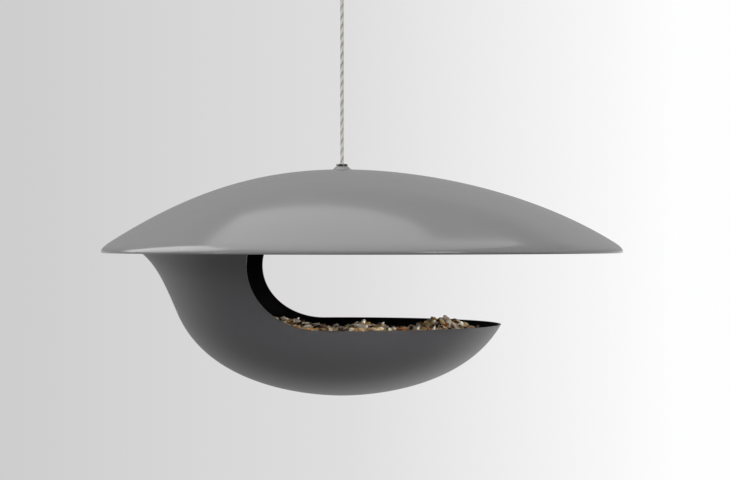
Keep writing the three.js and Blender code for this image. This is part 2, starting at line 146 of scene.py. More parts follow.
def bend(start, through, end, steps):
    """Points of a curve that leaves its start towards one point and comes to its end from there."""
    points = []
    for i in range(steps + 1):
        t = i / steps
        points.append(tuple(
            (1 - t) ** 2 * a + 2 * t * (1 - t) * b + t**2 * c for a, b, c in zip(start, through, end)
        ))
    return points


def eased(outline, reach, steps=4):
    """The outline with each corner between its ends rounded over, reach from the corner."""
    points = [outline[0]]
    for before, corner, after in zip(outline, outline[1:], outline[2:]):
        ends = []
        for other in (before, after):
            run = Vector(other) - Vector(corner)
            ends.append(tuple(Vector(corner) + run.normalized() * min(reach, longest_ease * run.length)))
        points += bend(ends[0], corner, ends[1], steps)
    return points + [outline[-1]]


def deselect():
    """Leaves nothing selected, because an operator acts on all that is."""
    bpy.ops.object.select_all(action="DESELECT")


def one_point(name):
    """A new piece in edit mode, with a single point at the origin."""
    deselect()
    bpy.ops.mesh.primitive_plane_add(size=0.01)
    piece = bpy.context.object
    piece.name = name
    bpy.ops.object.mode_set(mode="EDIT")
    bpy.ops.mesh.merge(type="CENTER")
    return piece


def draw(points):
    """Moves the piece's one point to the start of a line, and draws the line by extruding it."""
    bpy.ops.transform.translate(value=points[0])
    for a, b in zip(points, points[1:]):
        step = Vector(b) - Vector(a)
        bpy.ops.mesh.extrude_region_move(TRANSFORM_OT_translate={"value": step})


def pick(*pieces):
    """Selects these pieces alone. The first is the active one."""
    deselect()
    for piece in pieces:
        piece.select_set(True)
    bpy.context.view_layer.objects.active = pieces[0]


def smooth(piece, degrees):
    """Shades a piece smooth where its faces meet at less than an angle."""
    pick(piece)
    bpy.ops.object.shade_smooth_by_angle(angle=math.radians(degrees))


def weld(piece, degrees):
    """Joins the points that meet, turns the faces out, leaves edit mode and shades the piece."""
    bpy.ops.mesh.select_all(action="SELECT")
    bpy.ops.mesh.remove_doubles(threshold=weld_distance)
    bpy.ops.mesh.normals_make_consistent()
    bpy.ops.object.mode_set(mode="OBJECT")
    smooth(piece, degrees)


def turned(name, outline, sides=small_sides, level=0.0):
    """A new piece: an outline of (radius, height) points spun once about the cord's line."""
    piece = one_point(name)
    draw([(radius, 0.0, height + level) for radius, height in outline])
    bpy.ops.mesh.select_all(action="SELECT")
    bpy.ops.mesh.spin(steps=sides, angle=2 * math.pi, center=(0, 0, 0), axis=(0, 0, 1))
    weld(piece, degrees=35)
    return piece


def join(piece, others):
    """Makes several objects one piece."""
    pick(piece, *others)
    bpy.ops.object.join()


dome_edge = rim_radius - rim_shoulder
rim_inner = rim_radius - rim_wall
edge_slope = dome_edge / math.sqrt(cap_radius**2 - dome_edge**2)
shoulder = (rim_radius, dome_height(dome_edge) - rim_shoulder * edge_slope)
hub_foot = roof_top - roof_wall - hub_depth
hub_root = dome_height(hub_radius + hub_fillet, roof_wall)
boss_flank = bend(
    (boss_top_radius, boss_top), (boss_top_radius + boss_flare, roof_top),
    (boss_base_radius, dome_height(boss_base_radius)), flank_steps,
)
mouth = eased([
    (cord_hole, bush_seat_top), (cord_hole, grommet_seat_foot),
    (grommet_neck_radius + clearance, grommet_seat_foot),
    (grommet_neck_radius + clearance, boss_top), boss_flank[0], boss_flank[mouth_steps],
], mouth_ease)
rim_outline = bend(
    (dome_edge, dome_height(dome_edge)), shoulder, (rim_radius, rim_foot), shoulder_steps
)
rim_outline += bend(
    (rim_radius, rim_foot), (rim_radius, 0.0), (rim_radius - rim_foot, 0.0), round_steps
)[1:]
rim_outline += bend(
    (rim_inner + rim_inner_round, 0.0), (rim_inner, 0.0), (rim_inner, rim_inner_round),
    inner_round_steps,
)
hub_outline = bend(
    (hub_radius + hub_fillet, hub_root), (hub_radius, hub_root),
    (hub_radius, hub_root - hub_fillet / 2), round_steps,
)
hub_outline += eased([
    (hub_radius, hub_root - hub_fillet / 2), (hub_radius, hub_foot), (bush_hole, hub_foot),
    (bush_hole, bush_seat_top), (cord_hole, bush_seat_top),
], hub_ease)[1:]
roof = turned(
    "roof_dome",
    mouth + boss_flank[mouth_steps + 1:] + dome_run(boss_base_radius, dome_edge, 0.0, dome_steps)[1:]
    + rim_outline[1:] + dome_run(rim_inner, hub_radius + hub_fillet, roof_wall, underside_steps)
    + hub_outline[1:],
    roof_sides, rim_level,
)
for point in roof.data.vertices:
    point.co.x += offset_at(math.hypot(point.co.x, point.co.y))

screw_boss_radius = 0.006
screw_boss_ease = 0.0004
bolt_ease_steps = 2
insert_wall = 0.0034
insert_bore_spare = 0.002
bolts = 5
bolt_places = []
for i in range(bolts):
    low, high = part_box(f"thread_insert_{i + 1}")
    bolt_places.append(Vector(((low.x + high.x) / 2, (low.y + high.y) / 2, 0.0)))
insert_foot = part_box("thread_insert_1")[0].z
insert_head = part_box("thread_insert_1")[1].z
boss_face = insert_foot - clearance
bore_end = insert_head + insert_bore_spare
boss_end = bore_end + roof_wall
screw_bosses = []
for i, place in enumerate(bolt_places):
    screw_boss = turned(f"screw_boss_{i + 1}", eased([
        (0.0, bore_end), (insert_wall, bore_end), (insert_wall, boss_face),
        (screw_boss_radius, boss_face), (screw_boss_radius, boss_end), (0.0, boss_end),
    ], screw_boss_ease, bolt_ease_steps), bolt_sides)
    screw_boss.data.transform(Matrix.Translation(place))
    for point in screw_boss.data.vertices:
        if point.co.z > bore_end + roof_wall / 4:
            point.co.z = rim_level + dome_over(point.co.x, point.co.y, roof_wall / 2)
    screw_bosses.append(screw_boss)
join(roof, screw_bosses)


class Wire:
    """An output of a shader node. Arithmetic on it adds Math nodes."""

    def __init__(self, nodes, socket):
        self.nodes = nodes
        self.socket = socket

    def math(self, operation, first, second):
        return self.nodes.add("ShaderNodeMath", {"operation": operation}, {0: first, 1: second})

    def __add__(self, other):
        return self.math("ADD", self, other)

    def __sub__(self, other):
        return self.math("SUBTRACT", self, other)

    def __rsub__(self, other):
        return self.math("SUBTRACT", other, self)

    def __mul__(self, other):
        return self.math("MULTIPLY", self, other)

    __radd__ = __add__
    __rmul__ = __mul__


class Nodes:
    """A node tree that is filled one node at a time."""

    def __init__(self, tree):
        self.tree = tree

    def add(self, kind, settings=None, sockets=None, out=0):
        """A new node with its settings and sockets. Gives one of its outputs."""
        node = self.tree.nodes.new(kind)
        for setting, value in (settings or {}).items():
            if setting == "stops":
                while len(node.color_ramp.elements) < len(value):
                    node.color_ramp.elements.new(1.0)
                for element, (position, colour) in zip(node.color_ramp.elements, value):
                    element.position = position
                    element.color = colour
            else:
                setattr(node, setting, value)
        for socket, value in (sockets or {}).items():
            self.feed(node.inputs[socket], value)
        return Wire(self, node.outputs[out])

    def feed(self, socket, value):
        if isinstance(value, Wire):
            self.tree.links.new(value.socket, socket)
        else:
            socket.default_value = value

    def colours(self, mask, low, high):
        """One colour that goes over into another where a mask goes from 0 to 1."""
        return self.add("ShaderNodeMix", {"data_type": "RGBA"}, {0: mask, 6: low, 7: high}, 2)

    def part(self, vector, axis):
        """One number of a vector, by its axis."""
        return self.add("ShaderNodeSeparateXYZ", {}, {0: vector}, axis)


class Finish(Nodes):
    """A material of one shader, with patterns fixed to the piece."""

    def __init__(self, name):
        self.material = bpy.data.materials.new(name)
        self.material.use_nodes = True
        super().__init__(self.material.node_tree)
        self.shader = self.tree.nodes["Principled BSDF"]
        self.place = self.add("ShaderNodeTexCoord", out="Object")

    def noise(self, size, detail=2.0, place=None):
        """Cloudy noise from 0 to 1, in patches of about this size."""
        place = place or self.place
        return self.add("ShaderNodeTexNoise", {}, {"Vector": place, "Scale": 1 / size, "Detail": detail})

    def bump(self, height, depth):
        """A pattern as fine relief of that depth."""
        return self.add("ShaderNodeBump", {}, {"Strength": 1.0, "Distance": depth, "Height": height})

    def paint(self, sockets):
        """Sets the shader's values or joins patterns to them."""
        for socket, value in sockets.items():
            self.feed(self.shader.inputs[socket], value)


def shade(red, green, blue):
    """A colour in the light's own scale, from the 0 to 255 of a screen."""
    channels = []
    for channel in (red, green, blue):
        value = channel / 255
        channels.append(value / 12.92 if value <= 0.04045 else ((value + 0.055) / 1.055) ** 2.4)
    return (*channels, 1.0)


def dress(piece, body, slot, *finishes):
    """Gives a piece its materials and its body. The slot is not used."""
    for finish in finishes:
        piece.data.materials.append(finish.material)
    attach(piece, body)


roof_grey = Finish("roof_gloss_grey")
roof_cloud = roof_grey.noise(0.05)
roof_grain = roof_grey.noise(0.0011, 1.0)
roof_grey.paint({
    "Base Color": roof_grey.colours(roof_cloud, shade(146, 145, 146), shade(150, 149, 150)),
    "Roughness": 0.12 + 0.06 * roof_cloud,
    "Normal": roof_grey.bump(roof_grain, 0.000004),
})
dress(roof, "feeder", "roof_plastic", roof_grey)
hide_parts("roof_shell")


# Grommet: a black rubber bush pressed into the mouth of the boss, with a rounded collar over its edge
# that keeps the cord off the plastic.
grommet_collar_radius = (grommet_high.x - grommet_low.x) / 2
grommet_collar_foot = roof_high.z + clearance
grommet_taper = 0.0003
grommet_ease = 0.0005
grommet = turned("boss_grommet", eased([
    (cord_hole, grommet_low.z), (grommet_neck_radius, grommet_low.z),
    (grommet_neck_radius, grommet_collar_foot), (grommet_collar_radius, grommet_collar_foot),
    (grommet_collar_radius - grommet_taper, grommet_high.z), (cord_hole, grommet_high.z),
    (cord_hole, grommet_low.z),
], grommet_ease))
rubber = Finish("grommet_rubber")
rubber_dust = rubber.noise(0.0012)
rubber.paint({
    "Base Color": rubber.colours(rubber_dust, shade(56, 56, 56), shade(70, 69, 68)),
    "Roughness": 0.06 + 0.1 * rubber_dust,
    "Specular IOR Level": 0.9,
    "Normal": rubber.bump(rubber.noise(0.0003), 0.00003),
})
dress(grommet, "feeder", "rubber", rubber)
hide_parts("cord_grommet")


# Bush and load washer under the hub: a turned brass bush that lines the cord's hole, and a wide
# stainless washer that spreads the weight over the hub. Both are held up by the cord's stop.
bush_flange_radius = (bush_high.x - bush_low.x) / 2
bush_flange_thickness = 0.002
bush_flange_top = bush_low.z + bush_flange_thickness
bush_ease = 0.0003
hub_lining = turned("brass_bush", eased([
    (cord_hole, bush_low.z), (bush_flange_radius, bush_low.z), (bush_flange_radius, bush_flange_top),
    (bush_radius, bush_flange_top), (bush_radius, bush_high.z), (cord_hole, bush_high.z),
    (cord_hole, bush_low.z),
], bush_ease))
washer_low, washer_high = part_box("load_washer")
washer_radius = (washer_high.x - washer_low.x) / 2
washer_ease = 0.0005
hub_washer = turned("steel_load_washer", eased([
    (bush_hole, washer_low.z), (washer_radius, washer_low.z), (washer_radius, washer_high.z),
    (bush_hole, washer_high.z), (bush_hole, washer_low.z),
], washer_ease))
brass = Finish("turned_brass")
brass_tarnish = brass.noise(0.004, 4.0)
brass.paint({
    "Base Color": brass.colours(brass_tarnish, shade(196, 156, 84), shade(168, 126, 62)),
    "Metallic": 1.0,
    "Roughness": 0.22 + 0.16 * brass_tarnish,
    "Normal": brass.bump(brass.noise(0.0004), 0.00001),
})
steel = Finish("brushed_stainless")
brushing = (900, 900, 5200)
steel_lay = steel.add("ShaderNodeMapping", {}, {"Vector": steel.place, "Scale": brushing})
steel_lines = steel.noise(1.0, 3.0, steel_lay)
steel_cloud = steel.noise(0.012)
steel.paint({
    "Base Color": steel.colours(steel_cloud, shade(186, 188, 190), shade(204, 205, 206)),
    "Metallic": 1.0,
    "Roughness": 0.2 + 0.12 * steel_lines + 0.06 * steel_cloud,
    "Normal": steel.bump(steel_lines, 0.000008),
})
dress(hub_lining, "feeder", "brass", brass)
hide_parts("hub_bush")
dress(hub_washer, "feeder", "steel", steel)
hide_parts("load_washer")


# Bowl and rear wall: one thin moulding, matt dark grey outside and black inside. A slot right through
# it from side to side, with a round rear end and a level lip, leaves the front open. Its flange is
# screwed up against the bosses in the roof, and small holes in the bottom let water out.
bowl_low, bowl_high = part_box("body_shell")
bowl_depth = rim_level - bowl_low.z
bowl_base_handle = 0.0149
bowl_side_handle = 0.0729
waist_radius = 0.1394
waist_depth = 0.0509
waist_lean = math.radians(22.9)
waist_handle = 0.0232
flare_radius = 0.1681
flare_depth = 0.0013
flare_lean = math.radians(49.8)
flare_handle = 0.016
bowl_wall = 0.0016
flange_top = bowl_high.z - rim_level
flange_thickness = 0.003
flange_foot = flange_top - flange_thickness
flange_edge = 0.003
flange_ease = 0.0008
flange_ease_steps = 3
flange_washer_radius = 0.0044
bowl_sides = 240
bowl_steps = 44
flare_steps = 22


def leaning(angle, length):
    """A run of that length in the wall's outline, that leans out from upright."""
    return Vector((math.sin(angle), math.cos(angle))) * length


def cubic(start, first, second, end, t):
    """A point of a curve with two handles, and the direction in which it runs there."""
    s = 1 - t
    point = s**3 * start + 3 * s * s * t * first + 3 * s * t * t * second + t**3 * end
    run = s * s * (first - start) + 2 * s * t * (second - first) + t * t * (end - second)
    return point, run.normalized()


bowl_bottom = Vector((0.0, -bowl_depth))
waist = Vector((waist_radius, -waist_depth))
flare_end = Vector((flare_radius, -flare_depth))
bowl_handles = (Vector((bowl_base_handle, -bowl_depth)), waist - leaning(waist_lean, bowl_side_handle))
flare_handles = (
    waist + leaning(waist_lean, waist_handle), flare_end - leaning(flare_lean, flare_handle)
)


def wall_line(inset, level):
    """The wall's outline from the bottom of the bowl to a level, set in from the outside."""
    points = [(0.0, inset - bowl_depth)]
    for start, handles, end, steps in (
        (bowl_bottom, bowl_handles, waist, bowl_steps), (waist, flare_handles, flare_end, flare_steps)
    ):
        for i in range(1, steps + 1):
            point, run = cubic(start, *handles, end, i / steps)
            points.append((point.x - inset * run.y, point.y + inset * run.x))
    radius, height = points[-1]
    return points + [(radius + (level - height) * math.tan(flare_lean), level)]


bolt_circle = bolt_places[0].length
flange_inner = bolt_circle - flange_washer_radius - flange_edge
outer_wall = wall_line(0.0, flange_top)
inner_wall = wall_line(bowl_wall, flange_foot)
flange_outline = eased([
    outer_wall[-2], outer_wall[-1], (flange_inner, flange_top), (flange_inner, flange_foot),
    inner_wall[-1], inner_wall[-2],
], flange_ease, flange_ease_steps)
bowl = turned(
    "seed_bowl", outer_wall[:-2] + flange_outline + inner_wall[-3::-1], bowl_sides, rim_level
)
outside, inside = 0, 1
for face in bowl.data.polygons:
    from_rim = face.center - Vector((0.0, 0.0, rim_level))
    facing_out = face.normal.dot(from_rim) > 0 and from_rim.z < flange_foot
    face.material_index = outside if facing_out else inside

lip_depth = 0.0602
opening_end_length = 0.0572
opening_end_half_height = 0.049
opening_end_x = -0.0166
opening_middle = opening_end_half_height - lip_depth
opening_reach = rim_radius
opening_arc_steps = 72


def flat_face(name, corners):
    """A new piece in edit mode: one flat face with these corners."""
    piece = one_point(name)
    draw(corners)
    bpy.ops.mesh.select_all(action="SELECT")
    bpy.ops.mesh.edge_face_add()
    return piece


def cut(piece, tool):
    """Takes one shape out of another with a boolean, and removes the cutting shape."""
    pick(piece)
    bpy.ops.object.modifier_add(type="BOOLEAN")
    boolean = piece.modifiers[-1]
    boolean.operation = "DIFFERENCE"
    boolean.solver = "EXACT"
    boolean.object = tool
    bpy.ops.object.modifier_apply(modifier=boolean.name)
    bpy.data.objects.remove(tool)


slot_line = [(opening_reach, -opening_reach, -lip_depth)]
for i in range(opening_arc_steps + 1):
    angle = math.pi * (1.5 - i / opening_arc_steps)
    slot_line.append((
        opening_end_x + opening_end_length * math.cos(angle), -opening_reach,
        opening_middle + opening_end_half_height * math.sin(angle),
    ))
slot_line.append((opening_reach, -opening_reach, opening_middle + opening_end_half_height))
slot_form = flat_face("slot_form", [(x, y, z + rim_level) for x, y, z in slot_line])
bpy.ops.mesh.extrude_region_move(TRANSFORM_OT_translate={"value": (0, 2 * opening_reach, 0)})
bpy.ops.mesh.select_all(action="SELECT")
bpy.ops.mesh.normals_make_consistent()
bpy.ops.object.mode_set(mode="OBJECT")
cut(bowl, slot_form)

drain_radius = 0.0018
drain_circle = 0.03
drains = 6
drain_sides = 24
drain_cut = 0.03
for i in range(drains):
    angle = 2 * math.pi * i / drains
    deselect()
    bpy.ops.mesh.primitive_cylinder_add(
        vertices=drain_sides, radius=drain_radius, depth=drain_cut,
        location=(drain_circle * math.cos(angle), drain_circle * math.sin(angle), bowl_low.z),
    )
    cut(bowl, bpy.context.object)
smooth(bowl, degrees=30)

bowl_grey = Finish("bowl_matt_grey")
bowl_cloud = bowl_grey.noise(0.06)
bowl_grain = bowl_grey.noise(0.0006, 3.0)
bowl_grey.paint({
    "Base Color": bowl_grey.colours(bowl_cloud, shade(91, 90, 92), shade(96, 95, 97)),
    "Roughness": 0.36 + 0.1 * bowl_grain,
    "Normal": bowl_grey.bump(bowl_grain, 0.00002),
})
bowl_black = Finish("bowl_inside_black")
bowl_dust = bowl_black.noise(0.01, 4.0)
bowl_black.paint({
    "Base Color": bowl_black.colours(bowl_dust, shade(9, 9, 9), shade(15, 14, 14)),
    "Roughness": 0.7 + 0.15 * bowl_dust,
    "Specular IOR Level": 0.15,
    "Normal": bowl_black.bump(bowl_black.noise(0.0006, 3.0), 0.00002),
})
dress(bowl, "feeder", "body_plastic", bowl_grey, bowl_black)
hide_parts("body_shell")


# Screws, washers and threaded inserts: stainless button-head screws with hexagon sockets, on plain
# washers under the flange, in brass inserts pressed into the roof's bosses. Five of each.
screw_low, screw_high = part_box("flange_screw_1")
screw_radius = 0.002
screw_head_radius = 0.0036
screw_head_height = 0.0025
screw_head_crown = 0.0018
screw_head_edge = 0.0006
screw_head_steps = 8
screw_socket_radius = 0.0015
screw_socket_depth = 0.0014
thread_pitch = 0.0007
thread_depth = 0.0003
screw_head_top = screw_low.z + screw_head_height
screw_outline = [(0.0, screw_low.z)]
screw_outline += bend(
    (screw_head_radius - screw_head_crown, screw_low.z), (screw_head_radius, screw_low.z),
    (screw_head_radius, screw_head_top - screw_head_edge), screw_head_steps,
)
screw_outline += [(screw_head_radius, screw_head_top), (screw_radius, screw_head_top)]
thread_turns = int((screw_high.z - screw_head_top) / thread_pitch) - 1
for i in range(thread_turns):
    crest = screw_head_top + (i + 1) * thread_pitch
    screw_outline += [(screw_radius, crest), (screw_radius - thread_depth, crest + thread_pitch / 2)]
screw_outline += [(screw_radius - thread_depth, screw_high.z), (0.0, screw_high.z)]
screw = turned("screw_form", screw_outline, bolt_sides)
deselect()
bpy.ops.mesh.primitive_cylinder_add(
    vertices=6, radius=screw_socket_radius, depth=2 * screw_socket_depth, location=(0, 0, screw_low.z)
)
cut(screw, bpy.context.object)
smooth(screw, degrees=35)


def placed(name, mesh):
    """A new piece with a finished mesh."""
    piece = bpy.data.objects.new(name, mesh)
    bpy.context.collection.objects.link(piece)
    return piece


def ring(name, inner, outer, low, high, ease):
    """A turned ring with a square section and eased edges."""
    return turned(name, eased([
        (inner, (low + high) / 2), (inner, low), (outer, low), (outer, high), (inner, high),
        (inner, (low + high) / 2),
    ], ease, bolt_ease_steps), bolt_sides)


plate_low, plate_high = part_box("flange_washer_1")
screw_hole = screw_radius + clearance
insert_radius = insert_wall - clearance
plate = ring("washer_form", screw_hole, flange_washer_radius, plate_low.z, plate_high.z, ease=0.0002)
insert = ring("insert_form", screw_hole, insert_radius, insert_foot, insert_head, ease=0.0003)
for form, name, node, slot, finish in (
    (screw, "button_screw", "flange_screw", "steel", steel),
    (plate, "plain_washer", "flange_washer", "steel", steel),
    (insert, "brass_insert", "thread_insert", "brass", brass),
):
    for i, place in enumerate(bolt_places):
        copy = placed(f"{name}_{i + 1}", form.data.copy())
        copy.data.transform(Matrix.Translation(place))
        dress(copy, "feeder", slot, finish)
        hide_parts(f"{node}_{i + 1}")
    bpy.data.objects.remove(form)


# Seed bed: the heap of loose mixed seed that fills the bowl up to its lip, with three mounds near one
# side and a slope down to the other. It is the mass under the loose grains, and shows between them.
seed_gap = bowl_wall + clearance
seed_below_lip = 0.0006
mounds = (
    {"height": 0.01, "x": 0.086, "y": -0.03, "spread": 0.017},
    {"height": 0.006, "x": 0.019, "y": -0.072, "spread": 0.01},
    {"height": 0.01, "x": -0.055, "y": -0.085, "spread": 0.022},
)
far_drop = 0.01
far_drop_start = -0.14
far_drop_width = 0.24
end_drop = 0.007
end_drop_start = 0.092
end_drop_width = 0.05
lump_height = 0.0022
lump_size = 0.009


def seed_level(x, y):
    """The height of the heap's surface: its mounds, its slopes to the far side and end, and small lumps."""
    level = rim_level - lip_depth - seed_below_lip
    for mound in mounds:
        away = (x - mound["x"]) ** 2 + (y - mound["y"]) ** 2
        level += mound["height"] * math.exp(-0.5 * away / mound["spread"] ** 2)
    level -= far_drop * gentle((y - far_drop_start) / far_drop_width)
    level -= end_drop * gentle((x - end_drop_start) / end_drop_width)
    return level + lump_height * noise.noise((x / lump_size, y / lump_size, 0.0))


def reach(outline, level):
    """How far out a wall's outline is at a level."""
    height = max(outline[0][1], level - rim_level)
    for (radius, low), (next_radius, high) in zip(outline, outline[1:]):
        if low <= height < high:
            return radius + (next_radius - radius) * (height - low) / (high - low)


lip_level = rim_level - lip_depth
bed_wall = wall_line(seed_gap, flange_top)
bed_edge = -lip_depth - seed_below_lip
bed_outline = [point for point in bed_wall if point[1] < bed_edge]
bed_radius = bed_outline[-1][0]
bed_foot = rim_level + bed_outline[0][1]
bed_rise = rim_level + bed_outline[-1][1] - bed_foot
bed_rings = 48
bed_sides = 160
bed_outline += [(bed_radius * (1 - i / bed_rings), bed_edge) for i in range(1, bed_rings + 1)]
bed = turned("seed_bed", bed_outline, bed_sides, rim_level)
bed_sink = 0.0028
bed_rough = 0.0007
bed_slack = 0.0001
draws = random.Random(7)
for point in bed.data.vertices:
    from_middle = Vector((point.co.x, point.co.y, 0.0))
    edge = from_middle.normalized() * bed_radius
    edge_level = min(lip_level, seed_level(edge.x, edge.y)) - bed_sink
    if point.co.z > rim_level + bed_edge - bed_slack:
        place = from_middle * reach(bed_wall, edge_level) / bed_radius
        level = seed_level(place.x, place.y) - bed_sink + draws.uniform(-bed_rough, bed_rough)
    else:
        level = bed_foot + (point.co.z - bed_foot) * (edge_level - bed_foot) / bed_rise
        place = from_middle.normalized() * reach(bed_wall, level)
    point.co = (place.x, place.y, level)
# Painted shade: the bed is coloured in dark browns that stand for the shadow deep in the gaps between the
# loose grains.
crumbs_and_painted_gap_shade = Finish("seed_crumbs_painted_gap_shade")
crumb_patches = crumbs_and_painted_gap_shade.noise(0.0022, 3.0)
crumb_and_gap_shade_stops = [
    (0.3, shade(24, 16, 10)), (0.46, shade(52, 36, 20)), (0.58, shade(84, 61, 36)), (0.7, shade(40, 26, 14)),
]
crumbs_and_painted_gap_shade.paint({
    "Base Color": crumbs_and_painted_gap_shade.add("ShaderNodeValToRGB", {"stops": crumb_and_gap_shade_stops}, {0: crumb_patches}),
    "Roughness": 0.75 + 0.15 * crumb_patches,
    "Normal": crumbs_and_painted_gap_shade.bump(crumbs_and_painted_gap_shade.noise(0.0012, 2.0), 0.0006),
})
dress(bed, "feeder", "seed", crumbs_and_painted_gap_shade)
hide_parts("seed_fill")


# Loose grains on the heap: hulled and striped sunflower, wheat, cracked maize, yellow and red millet,
# split peas and hemp. Each kind is one piece, and its grains lie where they fell, some tipped up.
def grain_form(length, width, thickness, point, flat):
    """One grain along X: pointed at its +X end, and flattened underneath."""
    deselect()
    bpy.ops.mesh.primitive_uv_sphere_add(segments=8, ring_count=6, radius=0.5, rotation=(0, math.pi / 2, 0))
    form = bpy.context.object
    bpy.ops.object.transform_apply()
    points = []
    for corner in form.data.vertices:
        along, across, up = corner.co
        slim = 1 - point * (along + 0.5)
        up *= 1 - flat if up < 0 else 1
        points.append(Vector((along * length, across * width * slim, up * thickness * slim)))
    faces = [tuple(face.vertices) for face in form.data.polygons]
    bpy.data.objects.remove(form)
    return points, faces


grain_kinds = (
    {"name": "sunflower_hearts", "size": (0.0096, 0.0056, 0.0043), "point": 0.5, "flat": 0.25, "share": 25,
     "colours": ((255, 246, 226), (164, 130, 92))},
    {"name": "striped_sunflower", "size": (0.0112, 0.006, 0.0044), "point": 0.6, "flat": 0.2, "share": 8,
     "colours": ((36, 27, 19), (112, 88, 62))},
    {"name": "wheat_grains", "size": (0.0074, 0.0042, 0.0038), "point": 0.2, "flat": 0.2, "share": 24,
     "colours": ((246, 208, 154), (112, 72, 42))},
    {"name": "cracked_maize", "size": (0.0064, 0.0052, 0.004), "point": 0.4, "flat": 0.4, "share": 11,
     "colours": ((248, 194, 112), (186, 118, 58))},
    {"name": "yellow_millet", "size": (0.0036, 0.0033, 0.0032), "point": 0.1, "flat": 0.1, "share": 12,
     "colours": ((252, 240, 204), (224, 196, 132))},
    {"name": "red_millet", "size": (0.0034, 0.0031, 0.003), "point": 0.1, "flat": 0.1, "share": 8,
     "colours": ((160, 98, 62), (100, 56, 34))},
    {"name": "split_peas", "size": (0.0054, 0.0054, 0.0034), "point": 0.1, "flat": 0.6, "share": 7,
     "colours": ((208, 190, 118), (138, 122, 68))},
    {"name": "hemp_seed", "size": (0.0046, 0.004, 0.0037), "point": 0.2, "flat": 0.1, "share": 6,
     "colours": ((116, 94, 66), (62, 46, 30))},
)
grain_spacing = 0.0044
row_spacing = grain_spacing * math.sqrt(0.75)
grain_jitter = 0.0017
grain_tilt = math.radians(29)
grain_sink = 0.0016
grain_lift = (-0.0007, 0.0011)
grain_growth = (0.86, 1.14)
grain_rise = 0.25
small_grain = 0.004
small_grain_rise = 0.0007
grain_edge = 0.0012
grain_inside = 0.36
lip_rise = 0.3
tint_weight = 1.6
mottle_weight = 0.4
tint_start = 0.68
lip_inner = reach(inner_wall, lip_level)
spill = {"reach": 0.0046, "x": 0.006, "spread": 0.03, "flatness": 0.25}
draws = random.Random(21)
shares = [kind["share"] for kind in grain_kinds]
heaps = {kind["name"]: [] for kind in grain_kinds}
rows = int(2 * lip_inner / row_spacing)
columns = int(2 * lip_inner / grain_spacing)
for row in range(rows + 1):
    for column in range(columns + 1):
        kind = draws.choices(grain_kinds, shares)[0]
        x = (column + 0.5 * (row % 2)) * grain_spacing - lip_inner + draws.uniform(-1, 1) * grain_jitter
        y = row * row_spacing - lip_inner + draws.uniform(-1, 1) * grain_jitter
        turn = draws.uniform(0, 2 * math.pi)
        tip = draws.gauss(0, grain_tilt)
        roll = draws.gauss(0, grain_tilt)
        lift = draws.uniform(*grain_lift)
        growth = draws.uniform(*grain_growth)
        tint = draws.random()
        length, width, thickness = kind["size"]
        level = seed_level(x, y)
        edge = reach(inner_wall, min(level, lip_level)) - grain_edge - grain_inside * length
        over = spill["reach"] * math.exp(-0.5 * ((x - spill["x"]) / spill["spread"]) ** 2) if y < 0 else 0.0
        if math.hypot(x, y) > edge + over:
            continue
        rise = grain_rise * thickness if length > small_grain else small_grain_rise
        rest = level - grain_sink + lift + rise
        if math.hypot(x, y) > edge:
            rest = max(rest, lip_level + lip_rise * thickness)
            tip *= spill["flatness"]
            roll *= spill["flatness"]
        placing = Matrix.Translation((x, y, rest)) @ Matrix.Rotation(turn, 4, "Z")
        placing = placing @ Matrix.Rotation(tip, 4, "Y") @ Matrix.Rotation(roll, 4, "X")
        heaps[kind["name"]].append((placing @ Matrix.Scale(growth, 4), tint))

for kind in grain_kinds:
    points, faces = grain_form(*kind["size"], kind["point"], kind["flat"])
    heap_points, heap_faces, heap_tints = [], [], []
    for placing, tint in heaps[kind["name"]]:
        first = len(heap_points)
        heap_points += [placing @ point for point in points]
        heap_faces += [tuple(first + corner for corner in face) for face in faces]
        heap_tints += [tint] * len(points)
    mesh = bpy.data.meshes.new(kind["name"])
    mesh.from_pydata(heap_points, [], heap_faces)
    mesh.attributes.new("tint", "FLOAT", "POINT").data.foreach_set("value", heap_tints)
    mesh.shade_smooth()
    grains = placed(kind["name"], mesh)
    skin = Finish(kind["name"])
    tint = skin.add("ShaderNodeAttribute", {"attribute_name": "tint"}, out="Fac")
    mottle = skin.noise(0.0011, 3.0)
    mask = tint_weight * tint + mottle_weight * mottle - tint_start
    colour, other = kind["colours"]
    skin.paint({
        "Base Color": skin.colours(mask, shade(*colour), shade(*other)),
        "Roughness": 0.1 + 0.2 * mottle,
        "Specular IOR Level": 0.8,
        "Normal": skin.bump(mottle, 0.00012),
    })
    dress(grains, "feeder", "seed", skin)


# End of the cord inside the roof: a crimped steel stop on the cord, and a nylon washer between it and
# the bush, on which the feeder turns.
stop_low, stop_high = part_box("cord_stop")
stop_radius = (stop_high.x - stop_low.x) / 2
stop_chamfer = 0.001
stop_crimps = 2
crimp_depth = 0.0006
crimp_width = 0.0022
crimp_shares = (-1, -0.6, -0.25, 0.25, 0.6, 1)


def crimped(radius, low, high, crimps):
    """The side of a sleeve, from its low end to its high end, with rounded grooves pressed into it."""
    points = [(radius, low)]
    for i in range(crimps):
        middle = low + (high - low) * (i + 1) / (crimps + 1)
        for share in crimp_shares:
            depth = crimp_depth * math.cos(share * math.pi / 2)
            points.append((radius - depth, middle + share * crimp_width / 2))
    return points + [(radius, high)]


stop = turned("crimped_stop", [
    (cord_hole, stop_high.z), (cord_hole, stop_low.z), (stop_radius - stop_chamfer, stop_low.z),
    *crimped(stop_radius, stop_low.z + stop_chamfer, stop_high.z - stop_chamfer / 2, stop_crimps),
    (stop_radius - stop_chamfer / 2, stop_high.z), (cord_hole, stop_high.z),
])
dress(stop, "cord_end", "steel", steel)
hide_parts("cord_stop")

